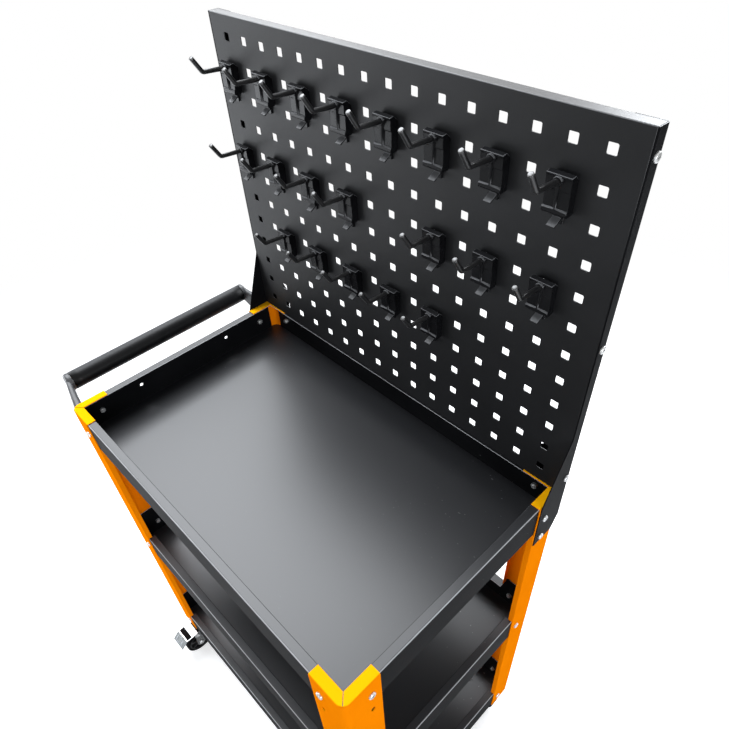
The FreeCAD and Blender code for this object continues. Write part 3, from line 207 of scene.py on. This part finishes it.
def powderCoat(name, paint, rough, gloss, paintedLightShare=0.0, specks=0.0, shine=0.0):
    look, paints, coat = coatLook, coatLook[paint], Finish(name)
    cloud = coat.noise(look["cloudSize"], detail=3.0)
    peel = coat.noise(look["peelSize"])
    grit = coat.noise(look["gritSize"], detail=1.0)
    colour = coat.blend(coat.ramp(cloud, *look["cloudStops"]), paints["base"], paints["cloud"])
    level = coat.ramp(coat.facing("Z"), *look["levelStops"])
    plain, clouded = look["levelMix"]
    # level faces take a lighter colour: painted light, and for the black coat also dust
    colour = coat.blend(level * (plain + cloud * clouded), colour, paints["level"])
    bend = coat.edge()
    # painted highlight on bends that look to the front and right
    outward = coat.facing("X") * look["outward"][0] + coat.facing("Y") * look["outward"][1]
    paintedSheen = bend * coat.ramp(outward, *look["outwardStops"]) * paintedLightShare
    colour = coat.blend(paintedSheen * (look["sheenPlain"] + cloud), colour, paints["edge"])
    if specks:
        across, back = coat.spot("X"), coat.spot("Y")
        corner = coat.ramp(abs(across), *look["dustAcross"]) * coat.ramp(back, *look["dustBack"])
        cornered, everywhere = look["dustMix"]
        dots = coat.ramp(coat.noise(look["dustSize"], detail=0.0), *look["dustStops"])
        colour = coat.blend(dots * (corner * cornered + everywhere) * specks, colour, look["dust"])
    extra = {}
    if shine:                                 # powder settles on level faces and flows smoother there
        extra = {"coat": level * (1 - bend) * shine, "coatRough": rough - look["coatSmoother"]}
    byCloud, byPeel, byLevel = look["roughFrom"]
    byHeight = peel * look["peelAndGrit"][0] + grit * look["peelAndGrit"][1]
    return coat.done(colour=colour, rough=cloud * byCloud + peel * byPeel + level * byLevel + rough,
                     gloss=gloss, normal=coat.bump(byHeight, look["peelDepth"]), **extra)


zincLook = {
    "bright": (0.74, 0.75, 0.75, 1),
    "dull": (0.50, 0.51, 0.52, 1),
    "warm": (0.66, 0.64, 0.57, 1),            # faint yellow passivation
    # painted shade, mixed into zinc parts drawn darker
    "paintedShade": (0.02, 0.021, 0.022, 1),
    "metal": 0.72,
    "grainSize": 0.0009,
    "grainDepth": 0.00004,
    "brushSize": 0.0012,
    "brushStretch": (1, 1, 0.06),
    "grainAndBrush": (0.6, 0.4),
    "cloudSize": 0.012,
    "cloudStops": (0.35, 0.7),
    "warmSize": 0.02,
    "warmStops": (0.5, 0.75),
    "warmShare": 0.35,
    "roughFrom": (0.18, 0.08, -0.13),         # what clouds and brushing add, and a plain part
}
flapLook = {                                  # a frame pressed into the flap of a brake pedal, with painted shade on the flap
    "middle": (-0.23955, 0.2402),             # the front and the rear flap mirror each other
    "half": (0.0135, 0.0052),
    "fromY": 0.2325,
    # painted shade over the flap
    "colour": (0.30, 0.33, 0.35, 1),
    "share": 0.75,
    "raised": [(0.50, 0), (0.66, 1), (0.84, 1), (1.0, 0)],
    "depth": 0.0005,
    "strength": 0.7,
    # painted shade in lines beside the pressed frame and at the flap's rim
    "frameShade": (0.12, 0.135, 0.145, 1),
    "frameShadeShare": 0.6,
    "frameShadeLines": [(0.42, 0), (0.60, 1), (0.70, 0), (0.86, 0), (0.97, 1), (1.0, 0.3)],
}


def zincPlate(name, rough, litShare=1.0, pressed=False):
    look, zinc = zincLook, Finish(name)
    grain = zinc.noise(look["grainSize"], detail=3.0)
    cloud = zinc.noise(look["cloudSize"], detail=3.0)
    brushed = zinc.noise(look["brushSize"], stretch=look["brushStretch"])
    colour = zinc.blend(zinc.ramp(cloud, *look["cloudStops"]), look["bright"], look["dull"])
    warm = zinc.ramp(zinc.noise(look["warmSize"], detail=1.0), *look["warmStops"])
    colour = zinc.blend(warm * look["warmShare"], colour, look["warm"])
    # painted shade: the zinc is darkened by the share given
    if litShare < 1:
        colour = zinc.blend(1 - litShare, colour, look["paintedShade"])
    height = grain * look["grainAndBrush"][0] + brushed * look["grainAndBrush"][1]
    normal = zinc.bump(height, look["grainDepth"])
    if pressed:
        x, y = zinc.spot("X"), abs(zinc.spot("Y"))
        across = abs(x - flapLook["middle"][0]) / flapLook["half"][0]
        down = abs(y - flapLook["middle"][1]) / flapLook["half"][1]
        reach = across.larger(down)
        normal = zinc.bump(zinc.curve(reach, flapLook["raised"]), flapLook["depth"],
                           flapLook["strength"], normal)
        onFlap = y > flapLook["fromY"]
        # painted shade over the flap and beside its pressed frame
        frameShadeLines = zinc.curve(reach, flapLook["frameShadeLines"])
        colour = zinc.blend(onFlap * flapLook["share"], colour, flapLook["colour"])
        colour = zinc.blend(frameShadeLines * onFlap * flapLook["frameShadeShare"], colour, flapLook["frameShade"])
    byCloud, byBrush, plain = look["roughFrom"]
    return zinc.done(colour=colour, rough=cloud * byCloud + brushed * byBrush + (rough + plain),
                     metal=look["metal"], normal=normal)


plasticLook = {
    "grainSize": 0.0007,
    "grainDepth": 0.00002,
    "cloudSize": 0.03,
    "scuffSize": 0.004,
    "scuffStops": (0.62, 0.80),
    "scuffShare": 0.12,
    "scuffLift": 2.2,                         # a scuff is this much lighter than the plastic
    "upper": (0.017, 0.0175, 0.019, 1),       # painted light: upper faces painted lighter
    "upperStops": (0.85, 0.98),
    "edge": (0.18, 0.183, 0.19, 1),           # and painted highlights on their upward-facing bends
    "roughFrom": (0.12, 0.08, -0.08),         # what clouds and scuffs add, and a plain part
}


def mouldedPlastic(name, base, second, rough, gloss=0.5, paintedLightShare=0.0):
    look, plastic = plasticLook, Finish(name)
    grain = plastic.noise(look["grainSize"], detail=1.0)
    cloud = plastic.noise(look["cloudSize"], detail=3.0)
    scuff = plastic.ramp(plastic.noise(look["scuffSize"], detail=5.0, rough=0.7), *look["scuffStops"])
    scuffed = [min(part * look["scuffLift"], 1) for part in second[:3]] + [1]
    colour = plastic.blend(cloud, base, second)
    colour = plastic.blend(scuff * look["scuffShare"], colour, scuffed)
    if paintedLightShare:
        # painted light on upper faces and painted highlights on upward-facing bends
        upper = plastic.ramp(plastic.facing("Z"), *look["upperStops"])
        colour = plastic.blend(upper * paintedLightShare, colour, look["upper"])
        colour = plastic.blend(plastic.edge() * paintedLightShare, colour, look["edge"])
    byCloud, byScuff, plain = look["roughFrom"]
    return plastic.done(colour=colour, rough=cloud * byCloud + scuff * byScuff + (rough + plain),
                        gloss=gloss, normal=plastic.bump(grain, look["grainDepth"]))


rubberLook = {
    "cloudSize": 0.02,
    "cloudStops": (0.3, 0.7),
    "poreSize": 0.0011,
    "poreDepth": 0.00007,
    "litSide": (-0.75, 0.65),                    # painted sheen on the side that looks left and up
    "litSideStops": (0.25, 1.0),
    # colour of the painted sheen
    "paintedSheen": (0.16, 0.162, 0.168, 1),
    "dustSize": 0.006,
    "dustStops": (0.58, 0.85),
    "dust": (0.16, 0.155, 0.15, 1),
    "roughFrom": (0.12, 0.2, -0.06),          # what clouds and dust add, and a plain part
}


def rubber(name, base, second, rough, gloss, dusty=0.0, paintedSheen=0.0):
    look, made = rubberLook, Finish(name)
    cloud = made.noise(look["cloudSize"], detail=4.0)
    pores = made.noise(look["poreSize"])
    colour = made.blend(made.ramp(cloud, *look["cloudStops"]), base, second)
    if paintedSheen:
        # painted sheen: the side that looks left and up is painted lighter
        litSide = made.facing("Z") * look["litSide"][1] + made.facing("X") * look["litSide"][0]
        colour = made.blend(made.ramp(litSide, *look["litSideStops"]) * paintedSheen, colour, look["paintedSheen"])
    dust = made.ramp(made.noise(look["dustSize"], detail=5.0, rough=0.65), *look["dustStops"]) * dusty
    colour = made.blend(dust, colour, look["dust"])
    byCloud, byDust, plain = look["roughFrom"]
    return made.done(colour=colour, rough=cloud * byCloud + dust * byDust + (rough + plain),
                     gloss=gloss, normal=made.bump(pores, look["poreDepth"]))


finishes = {
    "panel": powderCoat("blackCoatPanel", "black", rough=0.46, gloss=0.22, paintedLightShare=0.25, shine=1.0),
    "bracket": powderCoat("blackCoatBracket", "black", rough=0.46, gloss=0.025, paintedLightShare=0.3, shine=1.0),
    "tray": powderCoat("blackCoatTray", "black", rough=0.46, gloss=0.02, paintedLightShare=0.9, specks=0.3,
                       shine=1.0),
    "orange": powderCoat("orangeCoat", "orange", rough=0.50, gloss=0.0),
    "fastener": zincPlate("boltZinc", rough=0.27),
    "casterZinc": zincPlate("casterZinc", rough=0.24),
    # fork and pedal zinc darkened with painted shade
    "fork": zincPlate("forkZinc", rough=0.30, litShare=0.28),
    "pedal": zincPlate("pedalZinc", rough=0.24, litShare=0.70, pressed=True),
    "tube": zincPlate("tubeSteel", rough=0.40),
    "hook": mouldedPlastic("hookPlastic", (0.0035, 0.0036, 0.004, 1), (0.006, 0.006, 0.007, 1),
                           rough=0.27, gloss=0.09, paintedLightShare=0.6),
    "rod": mouldedPlastic("rodCoat", (0.004, 0.004, 0.0045, 1), (0.007, 0.007, 0.0075, 1),
                          rough=0.34, gloss=0.95),
    "arm": mouldedPlastic("armPlastic", (0.034, 0.035, 0.038, 1), (0.050, 0.052, 0.056, 1), rough=0.44),
    "wheel": mouldedPlastic("wheelPlastic", (0.010, 0.010, 0.010, 1), (0.02, 0.02, 0.021, 1), rough=0.42),
    "grip": rubber("gripSleeve", (0.0025, 0.0026, 0.003, 1), (0.005, 0.0052, 0.0056, 1),
                   rough=0.42, gloss=0.12, paintedSheen=0.5),
    "tyre": rubber("tyreRubber", (0.003, 0.003, 0.0033, 1), (0.006, 0.006, 0.006, 1),
                   rough=0.62, gloss=0.03, dusty=0.06),
}


def ending(*ends):
    return [name for name in nodes if name.endswith(ends)]


wears = {                                     # the record's slot and the nodes of each finish
    "panel": ("black_coat", ["pegboard_panel"]),
    "bracket": ("black_coat", ["panel_bracket_left", "panel_bracket_right"]),
    "tray": ("black_coat", ["top_tray", "middle_tray", "bottom_tray"]),
    "orange": ("orange_coat", ["post_front_left", "post_front_right", "post_rear_left", "post_rear_right"]),
    "tube": ("tube_steel", ["handle_tube"]),
    "grip": ("grip_sleeve", ["handle_grip"]),
    "arm": ("arm_plastic", ["handle_arm_front", "handle_arm_rear"]),
    "fastener": ("fastener_zinc", ending("_bolts", "_nuts", "_screws")),
    "hook": ("hook_plastic", ending("hook_plates")),
    "rod": ("hook_steel", ending("hook_rods")),
    "wheel": ("wheel_plastic", ending("_wheel")),
    "tyre": ("tyre", ending("_tyre", "_pad")),
    "fork": ("caster_zinc", ending("_fork")),
    "pedal": ("caster_zinc", ending("_pedal")),
    "casterZinc": ("caster_zinc", ending("_plate", "_kingpin", "_balls", "_axle", "_pin")),
}
for finish in wears:
    for name in wears[finish][1]:
        nodes[name].data.materials.clear()
        nodes[name].data.materials.append(finishes[finish])
print("finishes made,", len(finishes))


# Pieces of sheet and plastic, with their edges rounded off

edgeLook = {                                  # how wide the rounded edges are, in metres
    "panel": 0.0003,
    "bracket": 0.0004,
    "tray": 0.00055,
    "orange": 0.0004,
    "hook": 0.0005,
    "arm": 0.0003,
    "fork": 0.0003,
    "pedal": 0.0004,
    "casterZinc": 0.0003,
}
edgeRules = {
    "sharper": math.radians(32),              # an edge is rounded when its faces turn more than this
    "longer": 0.003,                          # short edges stay sharp, so that no rounding overshoots
    "steps": 2,
    "merge": 0.000002,
    "flat": math.radians(0.5),
}


def addPiece(name, mesh, node, finish):
    mesh.materials.clear()
    mesh.materials.append(finishes[finish])
    piece = bpy.data.objects.new(name, mesh)
    bpy.context.scene.collection.objects.link(piece)
    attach(piece, bodyOf[node])
    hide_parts(node)
    return piece


def softened(node, finish, width):
    mesh = nodes[node].data.copy()
    work = bmesh.new()
    work.from_mesh(mesh)
    bmesh.ops.remove_doubles(work, verts=work.verts, dist=edgeRules["merge"])
    bmesh.ops.dissolve_limit(work, angle_limit=edgeRules["flat"], verts=work.verts, edges=work.edges)
    for face in work.faces:
        face.smooth = True
    rounded = work.edges.layers.float.new("bevel_weight_edge")
    for edge in work.edges:
        if edge.calc_length() > edgeRules["longer"] and edge.calc_face_angle(0) > edgeRules["sharper"]:
            edge[rounded] = 1.0
    work.to_mesh(mesh)
    work.free()
    mesh.set_sharp_from_angle(angle=edgeRules["sharper"])
    piece = addPiece(node + ".soft", mesh, node, finish)
    rounding = piece.modifiers.new("rounding", "BEVEL")
    rounding.width = width
    rounding.segments = edgeRules["steps"]
    rounding.limit_method = "WEIGHT"
    rounding.use_clamp_overlap = False
    rounding.harden_normals = True
    levelled = piece.modifiers.new("levelled", "WEIGHTED_NORMAL")       # shades the flats flat
    levelled.keep_sharp = True


for finish, width in edgeLook.items():
    for name in wears[finish][1]:
        if not name.endswith(("_balls", "_kingpin", "_axle")):
            softened(name, finish, width)
print("edges rounded off")


# Round pieces worked out as rings along a path

ringRules = {"merge": 0.0000005, "straightSteps": 24}


def ringMesh(name, path, radii, count, offsets):
    # A path in the YZ plane carries circles: a ring's point lies at centre + r (cos a X + sin a N)
    along = np.gradient(path, axis=0)
    along /= np.linalg.norm(along, axis=1, keepdims=True)
    normal = np.stack([np.zeros(len(path)), -along[:, 2], along[:, 1]], 1)
    angle = np.linspace(0, 2 * np.pi, count, endpoint=False)
    side = np.array([1.0, 0.0, 0.0])
    ring = np.cos(angle)[None, :, None] * side + np.sin(angle)[None, :, None] * normal[:, None, :]
    points = (path[:, None, :] + radii[:, None, None] * ring).reshape(-1, 3)
    row, column = np.meshgrid(np.arange(len(path) - 1), np.arange(count), indexing="ij")
    here = row * count + column
    beside = row * count + (column + 1) % count
    quads = np.stack([here, beside, beside + count, here + count], -1).reshape(-1, 4)
    verts = (offsets[:, None, :] + points[None]).reshape(-1, 3)
    faces = (quads[None] + (np.arange(len(offsets)) * len(points))[:, None, None]).reshape(-1, 4)
    mesh = bpy.data.meshes.new(name)
    mesh.from_pydata(verts.tolist(), [], faces.tolist())
    work = bmesh.new()
    work.from_mesh(mesh)
    bmesh.ops.remove_doubles(work, verts=work.verts, dist=ringRules["merge"])
    bmesh.ops.recalc_face_normals(work, faces=work.faces)
    for face in work.faces:
        face.smooth = True
    work.to_mesh(mesh)
    work.free()
    return mesh


def domed(length, radius, dome, steps):
    # Places and radii of a bar whose ends are quarter ellipses of the dome's depth
    share = np.sin(np.linspace(0, np.pi / 2, steps))
    start = dome * (1 - np.sqrt(1 - share ** 2))
    middle = np.linspace(dome, length - dome, ringRules["straightSteps"])[1:-1]
    places = np.concatenate([start, middle, length - start[::-1]])
    radii = np.concatenate([radius * share, np.full(len(middle), radius), radius * share[::-1]])
    return places, radii


rodLook = {                                   # the hooks' rods, in metres from the board's face
    "radius": 0.0031,
    "out": (0.0093, 0.0181, 0.047, 0.060),
    "up": (0.003, 0.003, 0.0055, 0.026),
    "bends": (0.0093, 0.005),
    "bendSteps": 9,
    "tip": 0.0006,
    "tipSteps": 6,
    "sides": 20,
    "faceY": 0.185,
    "pitch": 0.038,
}


def rodPath():
    # Straight runs joined by bends, each a parabola between its two tangent points
    out, up = np.array(rodLook["out"]), np.array(rodLook["up"])
    corner = np.stack([np.zeros(len(out)), -out, up], 1)
    line = [corner[:1]]
    for number, bend in enumerate(rodLook["bends"], start=1):
        come = corner[number] - corner[number - 1]
        go = corner[number + 1] - corner[number]
        come, go = come / np.linalg.norm(come), go / np.linalg.norm(go)
        trim = bend * math.tan(math.acos(float(np.clip(come @ go, -1, 1))) / 2)
        share = np.linspace(0, 1, rodLook["bendSteps"])[:, None]
        first, last = corner[number] - come * trim, corner[number] + go * trim
        line.append((1 - share) ** 2 * first + 2 * share * (1 - share) * corner[number] + share ** 2 * last)
    line.append(corner[-1:])
    line = np.concatenate(line)
    run = np.concatenate([[0], np.cumsum(np.linalg.norm(np.diff(line, axis=0), axis=1))])
    return line, run


line, run = rodPath()
bar = domed(run[-1], rodLook["radius"], rodLook["tip"], rodLook["tipSteps"])
places = np.unique(np.concatenate([bar[0], run[1:-1]]))
radii = np.interp(places, *bar)
centres = np.stack([np.interp(places, run, line[:, axis]) for axis in range(3)], 1)
for name in wears["rod"][1]:
    boxLow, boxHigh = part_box(name)
    corners = np.array([v.co for v in nodes[name].data.vertices])
    columns = np.unique(np.round((corners[:, 0] - boxLow[0] - rodLook["radius"]) / rodLook["pitch"]))
    starts = boxLow[0] + rodLook["radius"] + columns * rodLook["pitch"]
    rootZ = boxLow[2] + rodLook["radius"] - rodLook["up"][0]
    spots = np.stack([starts, np.full(len(starts), rodLook["faceY"]), np.full(len(starts), rootZ)], 1)
    addPiece(name + ".round", ringMesh(name + ".round", centres, radii, rodLook["sides"], spots), name, "rod")

gripLook = {"sides": 96, "dome": 0.0012, "domeSteps": 5}
gripLow, gripHigh = (np.array(corner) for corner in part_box("handle_grip"))
gripRadius = (gripHigh[2] - gripLow[2]) / 2
places, radii = domed(gripHigh[1] - gripLow[1], gripRadius, gripLook["dome"], gripLook["domeSteps"])
centres = np.stack([np.zeros(len(places)), places, np.zeros(len(places))], 1)
spot = np.array([[(gripLow[0] + gripHigh[0]) / 2, gripLow[1], (gripLow[2] + gripHigh[2]) / 2]])
addPiece("handle_grip.round", ringMesh("handle_grip.round", centres, radii, gripLook["sides"], spot),
         "handle_grip", "grip")
print("rods and grip made")


# Camera

cameraLook = {
    "place": (0.55873, -0.31258, 1.44381),
    "turn": (45.676, 2.492, 45.774),          # degrees
    "lens": 30.322,
    "sensor": 36,
    "shift": (-0.01128, 0.04490),
    "clip": (0.01, 60),
}
lens = bpy.data.cameras.new("photoCamera")
lens.sensor_width = cameraLook["sensor"]
lens.lens = cameraLook["lens"]
lens.shift_x, lens.shift_y = cameraLook["shift"]
lens.clip_start, lens.clip_end = cameraLook["clip"]
camera = bpy.data.objects.new("photoCamera", lens)
camera.location = cameraLook["place"]
camera.rotation_euler = Euler([math.radians(angle) for angle in cameraLook["turn"]])
bpy.context.scene.collection.objects.link(camera)
bpy.context.scene.camera = camera


# Light and floor

studio = {
    "air": 0.24,                              # light from all round
    "lampTint": (0.92, 0.955, 1.0),
    "lamps": {                                # place, aimed at, size in metres, watts
        "overheadSoftbox": ((-1.29, 0.40, 2.90), (0.04, 0.0, 0.72), 2.1, 140),
        "rearSoftbox": ((0.1, 2.7, 1.95), (0.0, 0.2, 1.2), 1.8, 72),
        "frontSoftbox": ((0.5, -2.6, 1.3), (0.1, 0.0, 0.6), 0.7, 12),
        "rightSoftbox": ((2.6, -0.6, 1.2), (0.1, 0.0, 0.6), 0.7, 36),
        "leftSoftbox": ((-2.2, -1.35, 0.75), (0.0, 0.15, 1.0), 1.4, 46),
    },
    "floorColour": (0.80, 0.80, 0.80, 1),
    "floorGlow": 0.52,
    "floorReach": 14.0,
    "shadowFades": (0.9, 2.2),                # metres from the middle between which the floor turns white
}

world = bpy.data.worlds.new("studioAir")
world.use_nodes = True
air = Graph(world.node_tree)
seen = air.node("ShaderNodeLightPath", output="Is Camera Ray")
mirrored = air.node("ShaderNodeLightPath", output="Is Glossy Ray")
through = air.node("ShaderNodeLightPath", output="Is Transmission Ray")
cleared = seen + mirrored + through
glow = air.node("ShaderNodeBackground", inputs={
    "Color": (1, 1, 1, 1), "Strength": cleared * (1 - studio["air"]) + studio["air"]})
air.node("ShaderNodeOutputWorld", inputs={"Surface": glow})
bpy.context.scene.world = world
bpy.context.scene.view_settings.view_transform = "Standard"

for name, (place, target, size, power) in studio["lamps"].items():
    lamp = bpy.data.lights.new(name, "AREA")
    lamp.shape = "SQUARE"
    lamp.size = size
    lamp.energy = power
    lamp.color = studio["lampTint"]
    holder = bpy.data.objects.new(name, lamp)
    holder.location = place
    holder.rotation_euler = (Vector(target) - Vector(place)).to_track_quat("-Z", "Y").to_euler()
    bpy.context.scene.collection.objects.link(holder)

floorLook = bpy.data.materials.new("studioFloor")
floorLook.use_nodes = True
ground = Graph(floorLook.node_tree)
looked = ground.node("ShaderNodeLightPath", output="Is Camera Ray")
paper = ground.node("ShaderNodeBsdfDiffuse", inputs={"Color": studio["floorColour"]})
lit = ground.node("ShaderNodeEmission", inputs={"Strength": looked * studio["floorGlow"]})
near = ground.node("ShaderNodeAddShader", inputs={0: paper, 1: lit})
white = ground.node("ShaderNodeMixShader", inputs={
    0: looked, 1: paper, 2: ground.node("ShaderNodeEmission", inputs={"Strength": 1.0})})
away = ground.node("ShaderNodeVectorMath", {"operation": "LENGTH"}, {
    0: ground.node("ShaderNodeTexCoord", output="Object")}, output="Value")
fadeFrom, fadeTo = studio["shadowFades"]
share = ground.node("ShaderNodeMapRange", {"interpolation_type": "SMOOTHSTEP"}, {
    "Value": away, "From Min": fadeFrom, "From Max": fadeTo})
ground.node("ShaderNodeOutputMaterial", inputs={
    "Surface": ground.node("ShaderNodeMixShader", inputs={0: share, 1: near, 2: white})})
reach = studio["floorReach"]
floorMesh = bpy.data.meshes.new("studioFloor")
floorMesh.from_pydata([(-reach, -reach, 0), (reach, -reach, 0), (reach, reach, 0), (-reach, reach, 0)],
                      [], [(0, 1, 2, 3)])
floorMesh.materials.append(floorLook)
floor = bpy.data.objects.new("studioFloor", floorMesh)
bpy.context.scene.collection.objects.link(floor)
print("camera, lamps and floor set")
